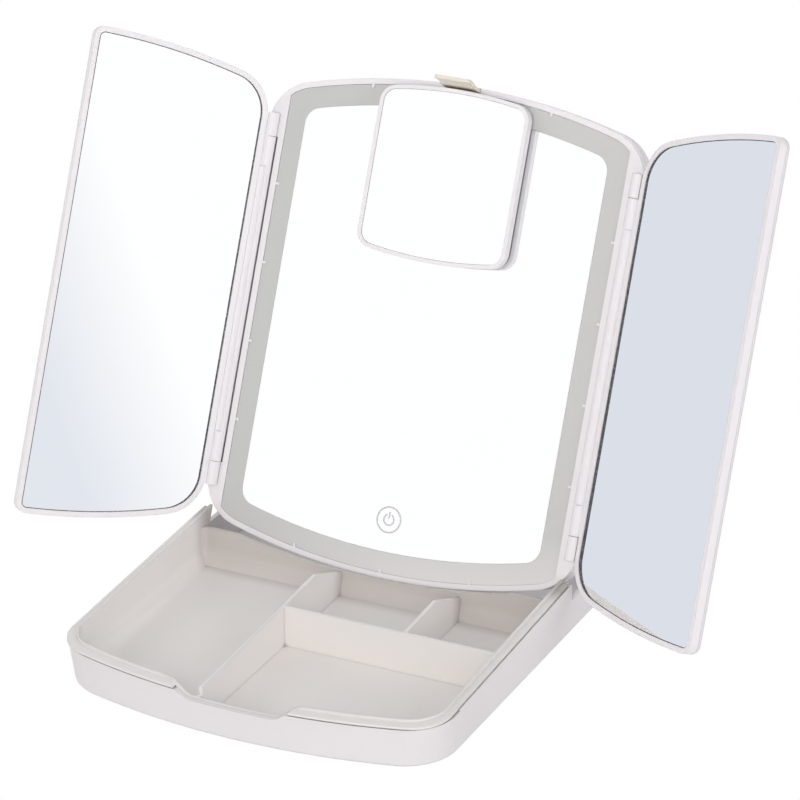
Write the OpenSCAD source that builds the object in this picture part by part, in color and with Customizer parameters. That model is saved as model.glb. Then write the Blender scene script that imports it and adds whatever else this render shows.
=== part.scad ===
// Trifold vanity mirror: a lit centre mirror on a tilting hinge, two folding
// side mirrors, a small lift-off magnifier and a cosmetics tray for a base.
// Millimetres. The origin is the middle of the feet's contact plane, X points
// to the user's right when facing the mirror, -Y points to the user, Z is up.

/* [Tray] */
// Width of the tray over its side walls
tray_w = 184; // [160:1:200]
// Height of the ledge at the middle of the front wall
front_wall_h = 19.45; // [15:0.05:24]
// Slope of the tray's rim, rising to the back, in degrees
rim_slope = 2.5; // [1:0.01:2.55]
// Radius of the bowed front and back of the tray
tray_bow_r = 290; // [240:1:360]
// Radius of the tray's four upright corners at its rim
tray_corner_r = 22; // [19:0.5:24]
// Radius of the four corners at the tray's bottom
tray_foot_corner_r = 26; // [24:0.5:28]
// How far the tray's walls lean in towards its bottom
tray_draft = 1.2; // [0.4:0.1:1.4]
// Wall of the outer tray shell
shell_wall = 2.2; // [2:0.1:2.4]
// Floor of the outer tray shell
shell_floor = 1; // [0.8:0.1:2]
// Height of the shell's wall behind the mirror's foot
bay_wall_h = 18; // [12:0.1:18.5]
// Rounding along the tray's bottom edge
bottom_round = 1.4; // [1:0.1:2]
// How far the rubber feet stand out under the shell
foot_out = 0.6; // [0.5:0.1:1.5]
// Radius of a rubber foot
foot_r = 6; // [4:0.5:8]

/* [Tray liner] */
// Distance of the liner's inside from the tray's side walls
liner_inset = 4.8; // [4.6:0.1:5.4]
// Corner radius of the liner's inside, taken at the tray's side walls
liner_corner_r = 20; // [19:0.5:24]
// Radius of the liner's two rear corners
liner_rear_r = 3; // [1:0.5:4]
// Width of the raised bead along the liner's inner edge
bead_w = 1.4; // [1.1:0.1:2]
// Thickness of the liner's rear wall
liner_wall = 1.7; // [1.2:0.1:2.5]
// Thickness of the flange round the bead
flange_t = 1.2; // [1:0.1:1.5]
// How far the flange stands out over the tray's front
flange_over = 0.5; // [0.2:0.1:0.8]
// Corner radius of the flange
flange_corner_r = 18; // [16:0.5:20]
// Width of the shell's thin edge outside the flange
edge_w = 0.45; // [0.4:0.05:0.8]
// Floor of the liner
liner_floor = 0.9; // [0.8:0.1:2]
// Height of the liner's bead above the shell's rim
lip_h = 2.2; // [1.5:0.1:3.5]
// Size of the rounding between the liner's walls and its floor
liner_fillet = 9.5; // [8:0.5:10]
// Distance of the liner's rear wall in front of the panel's foot
rear_wall_gap = 2.4; // [2.4:0.1:4]
// Rise of the rear wall above the panel's foot
rear_wall_rise = 1.5; // [0.2:0.1:1.5]
// Height of the rear wall's two level ends
rear_wall_end_z = 21; // [20:0.5:22]
// How far the liner's side walls reach behind the panel's foot
side_wall_reach = 7; // [5:0.5:9]
// Height of the liner's floor under the panel's foot
bay_floor_z = 5; // [4:0.1:5.5]
// Thickness of the dividers
divider_t = 1.8; // [1.4:0.1:2.4]
// Drop from the lip's top to the dividers' tops
divider_drop = 3.3; // [2.5:0.1:5]
// Place of the long left divider, from the middle
left_divider_x = -17.3; // [-35:0.1:-10]
// Place of the cross divider, from the tray's front
cross_divider_y = 84.3; // [60:0.1:100]
// Place of the short rear divider, from the middle
rear_divider_x = 41.9; // [30:0.1:60]
// Half width of the finger notch at its top
notch_top = 32; // [27:0.5:38]
// Half width of the finger notch at its bottom
notch_bottom = 19.5; // [15:0.5:25]
// Depth of the finger notch below the lip's top
notch_depth = 6.3; // [4:0.1:8]

/* [Mirror panel] */
// Height of the centre panel
panel_h = 225; // [215:1:235]
// Thickness of the centre panel
panel_t = 14; // [13:0.1:16]
// Radius of the panel's bowed top and bottom
panel_bow_r = 300; // [260:1:360]
// Radius of the panel's corners
panel_corner_r = 22; // [16:0.5:28]
// Lean of the panel back from upright, in degrees
lean = 23.16; // [20:0.01:25]
// Place of the panel's foot, from the tray's front
foot_y = 144; // [142:0.5:146]
// Height of the panel's foot above the table
foot_z = 12; // [11.5:0.1:14]
// Width of the white rim round the light band
rim_w = 2.6; // [2:0.1:3.5]
// Distance of the light band's outer edge inside the tray's width, at each side
band_inset = 8.1; // [7.8:0.1:10]
// Width of the light band at the sides
band_side_w = 9.1; // [7:0.1:12]
// Width of the light band at the top and bottom
band_end_w = 9.5; // [7:0.1:12]
// Corner radius of the centre mirror
glass_corner_r = 8; // [5:0.5:14]
// Thickness of the mirror glass
glass_t = 2; // [1.6:0.1:2.4]
// Depth of the glass and the light band below the rim
glass_recess = 0.5; // [0.3:0.1:0.8]
// Depth of the front frame, from its rim to the joint with the back cover
frame_t = 5; // [4.6:0.1:5.5]
// Wall of the back cover
cover_wall = 1.8; // [1.4:0.1:2.4]
// Rounding of the back cover's edge
cover_round = 3; // [2:0.1:4]

/* [Tilt hinge and stand] */
// Height of the tilt axis above the panel's foot, along the panel
tilt_v = 51; // [50:0.5:53]
// Depth of the tilt axis behind the panel's front
tilt_depth = 7.5; // [7.3:0.1:7.8]
// Radius of the tilt axle
axle_r = 1.75; // [1.5:0.05:2]
// Outer radius of the stand's knuckle
knuckle_r = 4; // [3.8:0.1:4.1]
// Width of the stand's knuckle
knuckle_w = 40; // [30:1:50]
// Width of the stand's post
post_w = 62; // [50:1:80]
// Thickness of the stand's post
post_t = 5.5; // [4:0.1:7]
// Rise of the stand's arm from the axle to the post, in degrees
arm_rise = 27; // [25:0.5:29]
// Gap between the swinging foot of the panel and what it passes
swing_gap = 2; // [1.5:0.1:3]

/* [Wings] */
// Distance of each wing's hinge axis inside the tray's width
wing_axis_in = 2.03; // [1.5:0.01:2.5]
// Height of the wing hinge axis in front of the panel's rim
wing_axis_w = 1.3; // [1.2:0.1:1.5]
// Height of a wing
wing_h = 223; // [215:0.5:224]
// Thickness of a wing
wing_t = 6.5; // [5.5:0.1:6.5]
// Corner radius of a wing beside its hinge
wing_hinge_corner_r = 20; // [12:0.5:24]
// Corner radius of a wing at its free edge
wing_free_corner_r = 5; // [3:0.5:8]
// Width of a wing's rim
wing_rim_w = 2.4; // [1.8:0.1:3]
// Width of a wing's rim beside its hinge
wing_hinge_rim_w = 1.4; // [1.2:0.1:2]
// Angle of the left wing forward from the panel's plane, in degrees
left_wing_angle = 43.3; // [20:0.1:60]
// Angle of the right wing forward from the panel's plane, in degrees
right_wing_angle = 30.2; // [20:0.1:60]
// Radius of the wing's hinge barrel
barrel_r = 2.7; // [2.5:0.05:2.8]
// Height of the barrel's lower end above the panel's foot
barrel_end_v = 37; // [34:0.5:44]
// Height of the barrel's hollow above the panel's foot, at its lower end
groove_end_v = 50.8; // [49:0.1:60]
// Radius of the hollow along the barrel
groove_r = 1.9; // [1.5:0.05:2]
// Distance of the hollow's centre from the hinge axis, outward and forward
groove_at = 2.3; // [2.2:0.05:2.6]
// Radius of a wing's hinge pins
pin_r = 1; // [0.8:0.05:1.2]
// Length of a hinge pin inside the barrel
pin_in_barrel = 10; // [8:0.5:14]

/* [Magnifier] */
// Width of the magnifier's glass
mag_glass_w = 69.6; // [60:0.1:74]
// Height of the magnifier's glass
mag_glass_h = 75.1; // [66:0.1:80]
// Radius of the magnifier's bowed top and bottom
mag_bow_r = 196; // [150:1:260]
// Corner radius of the magnifier's glass
mag_corner_r = 6; // [4:0.5:10]
// Width of the magnifier's rim
mag_rim_w = 1.8; // [1.2:0.1:2.6]
// Thickness of the magnifier's frame
mag_t = 5.4; // [4.6:0.1:6]
// Gap between the centre panel's rim and the magnifier's back
mag_gap = 1.2; // [0.8:0.1:1.5]
// Distance of the magnifier's middle below the panel's top
mag_below_top = 41.7; // [41:0.1:55]
// Radius of the small magnets that hold the magnifier
magnet_r = 4; // [3:0.1:5]
// Half the distance between the magnets from side to side
magnet_dx = 24; // [14:0.5:26]
// Half the distance between the magnets up and down
magnet_dv = 22; // [14:0.5:26]

/* [Pull tab] */
// Width of the pull tab at the panel's top
tab_w = 16.6; // [12:0.1:24]
// Reach of the pull tab in front of the rim
tab_reach = 15; // [10:0.5:18]
// Thickness of the pull tab
tab_t = 1.6; // [1.2:0.1:2.4]

/* [Electrics] */
// Outer radius of the ring of the touch symbol
icon_r = 6.15; // [4:0.05:8]
// Height of the touch symbol above the panel's foot
icon_v = 26.8; // [24:0.1:34]
// Number of lamps along one side of the panel
side_leds = 12; // [6:1:16]
// Number of lamps along the top and along the bottom
end_leds = 8; // [4:1:12]
// Width of the battery
battery_w = 60; // [40:1:70]
// Height of the battery along the panel
battery_h = 44; // [30:1:60]
// Thickness of the battery
battery_t = 5.4; // [4:0.1:5.6]
// Width of the control board
board_w = 32; // [24:1:40]
// Height of the control board along the panel
board_h = 36; // [30:1:44]
// Thickness of the control board
board_t = 1.2; // [0.8:0.1:1.6]
// Place of the charging socket, from the middle
usb_x = 40; // [34:1:46]
// Height of the charging socket above the panel's foot
usb_v = 22; // [20:1:26]
// Width of the charging socket
usb_w = 9; // [8:0.1:9.4]
// Thickness of the charging socket
usb_t = 3.2; // [3:0.1:3.6]

/* [Screws] */
// Distance of the cover's screws inside the tray's width
cover_screw_in = 24; // [22:1:28]
// Distance of the outer cover screws from the panel's ends
cover_screw_end = 34; // [32:1:40]
// Distance of the stand's screws from the ends of its post
stand_screw_in = 9; // [7:0.5:14]
// Distance between the stand's screws from front to back
stand_screw_pitch = 12; // [10:0.5:13]

/* [Clearances] */
// Gap between pieces that sit in one another
seat_gap = 0.1; // [0.05:0.01:0.2]
// Radial gap of a pin that turns in its bore
running_gap = 0.05; // [0.02:0.01:0.1]
// Gap between moving pieces side by side
moving_gap = 0.4; // [0.3:0.05:0.6]
// Gap beside the liner's flange
flange_gap = 0.3; // [0.2:0.05:0.5]
// Gap under the flange along the tray's front
front_gap = 0.7; // [0.4:0.05:0.9]
// Gap between the stand's post and the tray's rear wall
post_back_gap = 0.9; // [0.3:0.1:2]

/* [Hidden] */
eps = 0.01;
corner_proud = 0.01;

// --- tilt axis, in the tray's own frame (y from the tray's front) ---
tilt_y = foot_y + tilt_v * sin(lean) + tilt_depth * cos(lean);
tilt_z = foot_z + tilt_v * cos(lean) - tilt_depth * sin(lean);
swing_r = norm([tilt_v, max(tilt_depth, panel_t - tilt_depth)]);
post_y = tilt_y + swing_r + swing_gap;
tray_d = post_y + post_t + post_back_gap + shell_wall;
// floor levels
shell_top_z = foot_out + shell_floor;
liner_under_z = shell_top_z + seat_gap;
liner_floor_z = liner_under_z + liner_floor;
// --- liner, along the tray's depth ---
side_end_y = foot_y + side_wall_reach;
rear_face_y = foot_y - rear_wall_gap;
cavity_end_y = rear_face_y - liner_wall;
rear_crest_z = foot_z + rear_wall_rise;
divider_fall_y = cavity_end_y - 25;
// --- panel outline ---
wing_axis_x = tray_w / 2 - wing_axis_in;
band_half_w = tray_w / 2 - band_inset;
mag_v = panel_h - mag_below_top;
panel_w = 2 * (wing_axis_x + barrel_r);
frame_notch_x = wing_axis_x - barrel_r - moving_gap;
glass_h = panel_h - 2 * (rim_w + band_end_w);
glass_half_w = band_half_w - band_side_w;
plate_w = -(glass_recess + glass_t + seat_gap);
led_board_t = 0.5;
led_chip_t = 0.4;
channel_w = plate_w - 1.1;
frame_plate_under = -(frame_t - 0.3);
// --- tilt pocket in the back cover ---
pocket_half_w = knuckle_w / 2 + moving_gap;
boss_w = 6;
pocket_up = 18;
pocket_down = 24;
pocket_floor_w = -(tilt_depth - knuckle_r - 0.35);
// --- wings ---
wing_in = barrel_r + moving_gap;
wing_out = wing_axis_x - 0.6;
wing_shell_t = 2.4;
wing_v = (panel_h - wing_h) / 2;
barrel_len = panel_h - 2 * barrel_end_v;
pin_in_frame = 8;
stub_end_v = barrel_end_v - 11;

// rim height at a distance y behind the tray's front
function rim_z(y) = front_wall_h + y * tan(rim_slope);
function divider_z(y) = rim_z(y) + lip_h - divider_drop;

// ---------------------------------------------------------------- outlines
// An outline with bowed ends, from x0 to x1, whose bow is centred on xb.
// r0 and r1 are the corner radii at x0 and x1, t shrinks it all round.
module bow_outline(x0, x1, xb, h, R, r0, r1, t = 0) {
    Rt = R - t;
    bow_y = h / 2 - t - Rt;
    ra = max(r0 - t, 0.4);
    rb = max(r1 - t, 0.4);
    ca = x0 + t + ra;
    cb = x1 - t - rb;
    // heights of the corners' centres, which stand a hair proud of the bow
    ya = bow_y + sqrt(pow(Rt - ra, 2) - pow(ca - xb, 2)) + corner_proud;
    yb = bow_y + sqrt(pow(Rt - rb, 2) - pow(cb - xb, 2)) + corner_proud;
    ta = xb + (ca - xb) * Rt / (Rt - ra);
    tb = xb + (cb - xb) * Rt / (Rt - rb);
    intersection() {
        translate([xb, bow_y]) circle(Rt, $fn = 300);
        translate([xb, -bow_y]) circle(Rt, $fn = 300);
        translate([ta, -h]) square([tb - ta, 2 * h]);
    }
    translate([x0 + t, -ya]) square([max(ta, ca) - x0 - t, 2 * ya]);
    translate([min(tb, cb), -yb]) square([x1 - t - min(tb, cb), 2 * yb]);
    for (s = [-1, 1]) {
        translate([ca, s * ya]) circle(ra, $fn = 48);
        translate([cb, s * yb]) circle(rb, $fn = 48);
    }
}

module tray_outline(t = 0)
    translate([0, tray_d / 2])
        bow_outline(-tray_w / 2, tray_w / 2, 0, tray_d, tray_bow_r, tray_corner_r, tray_corner_r, t);

module panel_outline(t = 0)
    translate([0, panel_h / 2])
        bow_outline(-panel_w / 2, panel_w / 2, 0, panel_h, panel_bow_r, panel_corner_r, panel_corner_r, t);

// the light band's outer edge: the panel's outline cut off straight at the sides
module band_outline(t = 0)
    intersection() {
        panel_outline(rim_w + t);
        translate([-band_half_w + t, 0]) square([2 * (band_half_w - t), panel_h]);
    }

module glass_outline(t = 0)
    translate([0, panel_h / 2])
        bow_outline(-glass_half_w, glass_half_w, 0, glass_h, panel_bow_r - rim_w - band_end_w,
                    glass_corner_r, glass_corner_r, t);

// a wing's outline, x measured outward from the hinge axis
module wing_outline(t = 0)
    translate([0, panel_h / 2])
        bow_outline(wing_in, wing_out, wing_axis_x, wing_h, panel_bow_r,
                    wing_hinge_corner_r, wing_free_corner_r, t);

module wing_glass_outline(t = 0)
    intersection() {
        wing_outline(wing_rim_w + t);
        translate([wing_in + wing_hinge_rim_w + t, 0]) square([wing_out, panel_h]);
    }

module mag_outline(t = 0)
    translate([0, mag_v])
        bow_outline(-mag_glass_w / 2 - mag_rim_w, mag_glass_w / 2 + mag_rim_w, 0,
                    mag_glass_h + 2 * mag_rim_w, mag_bow_r, mag_corner_r + mag_rim_w,
                    mag_corner_r + mag_rim_w, t);

// a slab between two levels
module slab(z0, z1) translate([0, 0, z0]) linear_extrude(z1 - z0) children();

// ------------------------------------------------------------------ frames
// y from the tray's front becomes y from the tray's middle
module in_tray() translate([0, -tray_d / 2, 0]) children();

// panel frame: x to the right, y up along the panel, z out of its front
module in_panel() in_tray() translate([0, foot_y, foot_z]) rotate([90 - lean, 0, 0]) children();

// wing frame: x outward from the hinge axis, y up, z out of the glass
module in_left_wing()
    in_panel() translate([-wing_axis_x, 0, wing_axis_w]) rotate([0, left_wing_angle, 0])
        mirror([1, 0, 0]) children();

module in_right_wing()
    in_panel() translate([wing_axis_x, 0, wing_axis_w]) rotate([0, -right_wing_angle, 0]) children();

// -------------------------------------------------------------------- tray
// the walls lean out up to this height and stand upright above it
upright_z = front_wall_h - 1;

module tray_foot_outline(t = 0)
    translate([0, tray_d / 2])
        bow_outline(-tray_w / 2, tray_w / 2, 0, tray_d, tray_bow_r, tray_foot_corner_r,
                    tray_foot_corner_r, tray_draft + t);

// the tray's solid form, t in from its outside
module tray_form(t, z0) {
    hull() {
        slab(z0, z0 + eps) tray_foot_outline(t);
        slab(upright_z, upright_z + eps) tray_outline(t);
    }
    slab(upright_z, 60) tray_outline(t);
}

// a layer that follows the rim's slope as far back as y1, between z0 and z1 above it
module rim_layer(z0, z1, y1 = side_end_y)
    translate([-tray_w, 0, 0]) rotate([90, 0, 90]) linear_extrude(2 * tray_w)
        polygon([[-5, rim_z(-5) + z0], [y1, rim_z(y1) + z0], [y1, rim_z(y1) + z1], [-5, rim_z(-5) + z1]]);

// everything under the shell's rim, lower behind the mirror's foot
module under_rim()
    translate([-tray_w, 0, 0]) rotate([90, 0, 90]) linear_extrude(2 * tray_w)
        polygon([[-5, -1], [-5, rim_z(-5)], [side_end_y, rim_z(side_end_y)],
                 [side_end_y, bay_wall_h], [tray_d + 1, bay_wall_h], [tray_d + 1, -1]]);

// half of the finger notch's profile, easing from the lip down to its bottom
function notch_half(steps = 16) =
    [for (i = [0:steps]) let (k = i / steps)
        [notch_top + (notch_bottom - notch_top) * k, -notch_depth * (1 - cos(180 * k)) / 2]];

module finger_notch() {
    side = notch_half();
    other = [for (i = [len(side) - 1:-1:0]) [-side[i][0], side[i][1]]];
    translate([0, liner_inset + 3, rim_z(0) + lip_h]) rotate([90, 0, 0])
        linear_extrude(liner_inset + 6)
            polygon(concat([[notch_top, 10]], side, other, [[-notch_top, 10]]));
}

foot_seat = 0.3;
foot_spots = concat([[0, tray_d / 2]],
                    [for (sx = [-1, 1], y = [26, tray_d - 26]) [sx * (tray_w / 2 - 24), y]]);
// behind this the shell's thin edge stands beside the flange
edge_start_y = 34;

module tray_shell() color("whitesmoke") in_tray() difference() {
    intersection() {
        union() {
            hull() {
                for (k = [0:3]) {
                    z = foot_out + bottom_round * (1 - cos(30 * k));
                    slab(z, z + eps) tray_foot_outline(bottom_round * (1 - sin(30 * k)));
                }
                slab(upright_z, upright_z + eps) tray_outline();
            }
            slab(upright_z, rim_z(tray_d)) tray_outline();
        }
        under_rim();
    }
    tray_form(shell_wall, shell_top_z);
    // seat of the liner's flange, deeper round the front
    intersection() {
        slab(upright_z - 5, 60) union() {
            tray_outline(edge_w);
            translate([-tray_w, -5]) square([2 * tray_w, edge_start_y + 5]);
        }
        rim_layer(-flange_gap, 20);
    }
    intersection() {
        translate([-tray_w, -5, 0]) cube([2 * tray_w, edge_start_y + 5, 60]);
        rim_layer(seat_gap - flange_gap - front_gap, 20);
    }
    finger_notch();
    for (p = foot_spots) translate([p[0], p[1], foot_out - 1]) cylinder(r = foot_r, h = 1 + foot_seat, $fn = 48);
}

function arc(cx, cy, r, a0, a1, n) =
    [for (i = [0:n]) let (a = a0 + (a1 - a0) * i / n) [cx + r * cos(a), cy + r * sin(a)]];

// plan of the liner's inside, t in from the tray's outline
module cavity_outline(t) {
    cx = tray_w / 2 - liner_corner_r;
    cy = tray_bow_r - sqrt(pow(tray_bow_r - liner_corner_r, 2) - pow(cx, 2));
    turn = atan2(tray_bow_r - cy, cx);
    rx = tray_w / 2 - liner_inset - liner_rear_r;
    ry = cavity_end_y - liner_rear_r;
    rear_r = max(liner_rear_r + liner_inset - t, 0.5);
    polygon(concat(
        arc(rx, ry, rear_r, 0, 90, 9), arc(-rx, ry, rear_r, 90, 180, 9),
        arc(-cx, cy, liner_corner_r - t, 180, 180 + turn, 10),
        arc(0, tray_bow_r, tray_bow_r - t, 181 + turn, 359 - turn, 24),
        arc(cx, cy, liner_corner_r - t, 360 - turn, 360, 10)));
}

module liner_cavity() {
    steps = 8;
    hull() for (k = [0:steps]) {
        a = 90 * k / steps;
        z = liner_floor_z + liner_fillet * (1 - cos(a));
        slab(z, k < steps ? z + eps : 60) cavity_outline(liner_inset + liner_fillet * (1 - sin(a)));
    }
}

// height of the bead's top where the side walls end in front of the leaning mirror
side_top_z = rim_z(side_end_y) + lip_h;
lip_clear = 1.6;
lip_end_y = foot_y + (side_top_z - foot_z) * tan(lean) - lip_clear;
lip_end_drop = 13;

// everything under the bead, ending along the mirror's lean
module under_bead()
    translate([-tray_w, 0, 0]) rotate([90, 0, 90]) linear_extrude(2 * tray_w)
        polygon([[-5, 0], [-5, rim_z(-5) + lip_h], [lip_end_y, rim_z(lip_end_y) + lip_h],
                 [lip_end_y - lip_end_drop * tan(lean), rim_z(lip_end_y) + lip_h - lip_end_drop],
                 [side_end_y, rim_z(lip_end_y) + lip_h - lip_end_drop], [side_end_y, 0]]);

// room under the panel's foot, whose bow the rear wall's top follows up to its level ends
module foot_bay() {
    half = tray_w / 2 - liner_inset;
    foot_bow_r = panel_bow_r / cos(lean);
    wall_start_y = cavity_end_y - liner_rear_r;
    translate([-half, rear_face_y, bay_floor_z]) cube([2 * half, 30, 60]);
    intersection() {
        translate([-half, wall_start_y, 0]) cube([2 * half, 20, 60]);
        union() {
            translate([0, wall_start_y - 1, rear_crest_z + foot_bow_r]) rotate([-90, 0, 0])
                cylinder(r = foot_bow_r, h = 22, $fn = 300);
            translate([-tray_w, wall_start_y - 1, rear_wall_end_z]) cube([2 * tray_w, 22, 60]);
        }
    }
}

// a divider along the tray whose top falls towards the mirror's foot
module divider_profile(x, front)
    translate([x - divider_t / 2, 0, 0]) rotate([90, 0, 90]) linear_extrude(divider_t)
        polygon(concat([[front[0][0], liner_floor_z - 0.5]], front,
                       [[divider_fall_y, divider_z(divider_fall_y)], [cavity_end_y, rear_crest_z - 0.1],
                        [rear_face_y - 0.3, rear_crest_z - 0.1], [rear_face_y - 0.3, liner_floor_z - 0.5]]));

module tray_liner() color("white") in_tray() difference() {
    union() {
        intersection() {
            difference() {
                union() {
                    intersection() {
                        tray_form(shell_wall + seat_gap, liner_under_z - 0.1);
                        translate([-tray_w, -5, liner_under_z]) cube([2 * tray_w, side_end_y + 5, 60]);
                        union() {
                            rim_layer(-60, flange_t - flange_gap / 2);
                            slab(0, 60) tray_outline(liner_inset - bead_w);
                        }
                    }
                    // flange that rests on the shell's seat
                    intersection() {
                        slab(upright_z - 5, 60) translate([0, tray_d / 2])
                            bow_outline(-tray_w / 2 + edge_w + flange_gap, tray_w / 2 - edge_w - flange_gap, 0,
                                        tray_d + 2 * flange_over, tray_bow_r, flange_corner_r, flange_corner_r);
                        rim_layer(seat_gap - flange_gap, seat_gap - flange_gap + flange_t);
                    }
                }
                liner_cavity();
                foot_bay();
            }
            under_bead();
        }
        intersection() {
            slab(liner_under_z, 60) tray_outline(liner_inset - 0.6);
            union() {
                divider_profile(left_divider_x, [[liner_inset - 0.6, rim_z(0) + lip_h - notch_depth],
                                                 [liner_inset + 3, divider_z(liner_inset + 3)]]);
                divider_profile(rear_divider_x, [[cross_divider_y, divider_z(cross_divider_y)]]);
                translate([left_divider_x, cross_divider_y - divider_t / 2, liner_floor_z - 0.5])
                    cube([tray_w / 2 - left_divider_x, divider_t,
                          divider_z(cross_divider_y) - liner_floor_z + 0.5]);
            }
        }
    }
    finger_notch();
}

module rubber_feet() color("dimgray") in_tray()
    for (p = foot_spots) translate([p[0], p[1], 0]) cylinder(r = foot_r - seat_gap, h = foot_out + foot_seat, $fn = 48);

// ------------------------------------------------------------------- stand
stand_foot_l = 24;
stand_foot_t = 4;
screw_r = 1.5;
stand_screw_spots = [for (x = [-1, 1], k = [0, 1])
    [x * (post_w / 2 - stand_screw_in), post_y - 4 - stand_screw_pitch * k]];

module stand_post() color("white") in_tray() difference() {
    reach = swing_r + swing_gap;
    crest_z = tilt_z + reach * tan(arm_rise);
    union() {
        // post and its foot on the shell's floor, cut to the bowed rear wall
        intersection() {
            union() {
                translate([-post_w / 2, post_y, shell_top_z + seat_gap])
                    cube([post_w, post_t, bay_wall_h]);
                translate([-post_w / 2, post_y - stand_foot_l, shell_top_z + seat_gap])
                    cube([post_w, stand_foot_l + eps, stand_foot_t]);
            }
            tray_form(shell_wall + seat_gap, shell_top_z);
        }
        translate([-post_w / 2, post_y, bay_wall_h + seat_gap])
            cube([post_w, post_t, crest_z - bay_wall_h - seat_gap]);
        // arm from the post to the knuckle
        translate([-knuckle_w / 2, 0, 0]) rotate([90, 0, 90]) linear_extrude(knuckle_w)
            polygon([[tilt_y - 2.4 * sin(arm_rise), tilt_z + 2.4 * cos(arm_rise)],
                     [post_y + post_t / 2, crest_z + 1.5],
                     [post_y + post_t, crest_z - 2],
                     [post_y + post_t, crest_z - 14],
                     [post_y, crest_z - 14],
                     [post_y - 6, crest_z - 9],
                     [tilt_y + 2.4 * sin(arm_rise), tilt_z - 2.4 * cos(arm_rise)]]);
        // shoulder along the top of the post
        translate([-post_w / 2, post_y + post_t / 2, crest_z]) rotate([0, 90, 0])
            cylinder(r = post_t / 2, h = post_w, $fn = 32);
        translate([-knuckle_w / 2, tilt_y, tilt_z]) rotate([0, 90, 0])
            cylinder(r = knuckle_r, h = knuckle_w, $fn = 48);
    }
    translate([-knuckle_w / 2 - 1, tilt_y, tilt_z]) rotate([0, 90, 0])
        cylinder(r = axle_r + running_gap, h = knuckle_w + 2, $fn = 48);
    for (p = stand_screw_spots) translate([p[0], p[1], shell_top_z])
        cylinder(r = screw_r + seat_gap, h = stand_foot_t + 1, $fn = 24);
}

module stand_screws() color("silver") in_tray()
    for (p = stand_screw_spots) translate([p[0], p[1], shell_top_z + seat_gap]) {
        cylinder(r = screw_r, h = stand_foot_t + 0.2, $fn = 24);
        translate([0, 0, stand_foot_t + 0.1]) cylinder(r = 2.8, h = 1.4, $fn = 32);
    }

module tilt_axle() color("silver") in_panel()
    translate([-pocket_half_w - boss_w + 0.5, tilt_v, -tilt_depth]) rotate([0, 90, 0])
        cylinder(r = axle_r, h = 2 * (pocket_half_w + boss_w) - 1, $fn = 48);

// ------------------------------------------------------------ centre panel
module both_sides() for (s = [0, 1]) mirror([s, 0, 0]) children();

// room for a wing's barrel beside the panel
module barrel_notches() both_sides()
    translate([frame_notch_x, barrel_end_v - moving_gap / 2, -50])
        cube([20, barrel_len + moving_gap, 100]);

cover_screw_spots = [for (sx = [-1, 1], v = [cover_screw_end, panel_h / 2, panel_h - cover_screw_end])
    [sx * (tray_w / 2 - cover_screw_in), v]];
screw_boss_r = 3;
pilot_r = 1.1;

module lid_front_frame() color("white") in_panel() difference() {
    union() {
        intersection() {
            difference() {
                slab(-frame_t, 0) panel_outline();
                slab(-frame_t - 1, frame_plate_under) band_outline(1.2);
                slab(channel_w, 1) band_outline();
            }
            difference() {
                slab(-frame_t - 1, 1) panel_outline();
                barrel_notches();
            }
        }
        // plateau that carries the mirror, with the lamps' channel round it
        difference() {
            slab(frame_plate_under, plate_w) glass_outline(-1.5);
            translate([0, icon_v, plate_w - 0.5]) cylinder(r = 8, h = 2, $fn = 48);
            for (p = magnet_spots) translate([p[0], p[1], plate_w - 1.1])
                cylinder(r = magnet_r + seat_gap, h = 3, $fn = 32);
        }
        slab(frame_plate_under, channel_w) band_outline(-0.2);
        // stubs that hold the wings' pins
        intersection() {
            both_sides() for (v = [[stub_end_v, barrel_end_v - moving_gap / 2],
                                   [panel_h - barrel_end_v + moving_gap / 2, panel_h - stub_end_v]])
                translate([wing_axis_x, v[0], wing_axis_w]) rotate([-90, 0, 0])
                    cylinder(r = barrel_r, h = v[1] - v[0], $fn = 40);
            slab(-frame_t, 10) panel_outline();
        }
        // small pips that keep the light band down
        pips();
        for (p = cover_screw_spots) translate([p[0], p[1], -11]) cylinder(r = screw_boss_r, h = 11 + frame_plate_under + 0.2, $fn = 32);
    }
    for (p = cover_screw_spots) translate([p[0], p[1], -12]) cylinder(r = pilot_r, h = 7, $fn = 24);
    // blind holes for the hinge pins
    both_sides() for (v = [barrel_end_v - pin_in_frame, panel_h - barrel_end_v - eps])
        translate([wing_axis_x, v, wing_axis_w]) rotate([-90, 0, 0])
            cylinder(r = pin_r + 0.02, h = pin_in_frame + eps, $fn = 32);
    // room for the stand's knuckle, and the seat of the pull tab in the top rim
    translate([-pocket_half_w, tilt_v, -tilt_depth]) rotate([0, 90, 0])
        cylinder(r = knuckle_r + 0.35, h = 2 * pocket_half_w, $fn = 48);
    tab_seat();
}

pip_pitch_v = 36.5;
pip_pitch_u = 44;
pip_out = 1.6;

module pips() {
    both_sides() for (k = [-1.5, -0.5, 0.5, 1.5])
        translate([band_half_w - pip_out, panel_h / 2 + k * pip_pitch_v - 0.6, -glass_recess + 0.05])
            cube([pip_out + 0.4, 1.2, glass_recess - 0.1]);
    for (k = [-1, 0, 1]) {
        drop = panel_bow_r - sqrt(pow(panel_bow_r, 2) - pow(k * pip_pitch_u, 2));
        translate([k * pip_pitch_u - 0.6, rim_w + drop - 0.5, -glass_recess + 0.05])
            cube([1.2, pip_out + 0.5, glass_recess - 0.1]);
        if (k != 0) translate([k * pip_pitch_u - 0.6, panel_h - rim_w - drop - pip_out, -glass_recess + 0.05])
            cube([1.2, pip_out + 0.5, glass_recess - 0.1]);
    }
}

module pocket_walls(t)
    translate([-pocket_half_w - t, tilt_v - pocket_down - t, -panel_t])
        cube([2 * (pocket_half_w + t), pocket_up + pocket_down + 2 * t, panel_t + pocket_floor_w]);

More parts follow.
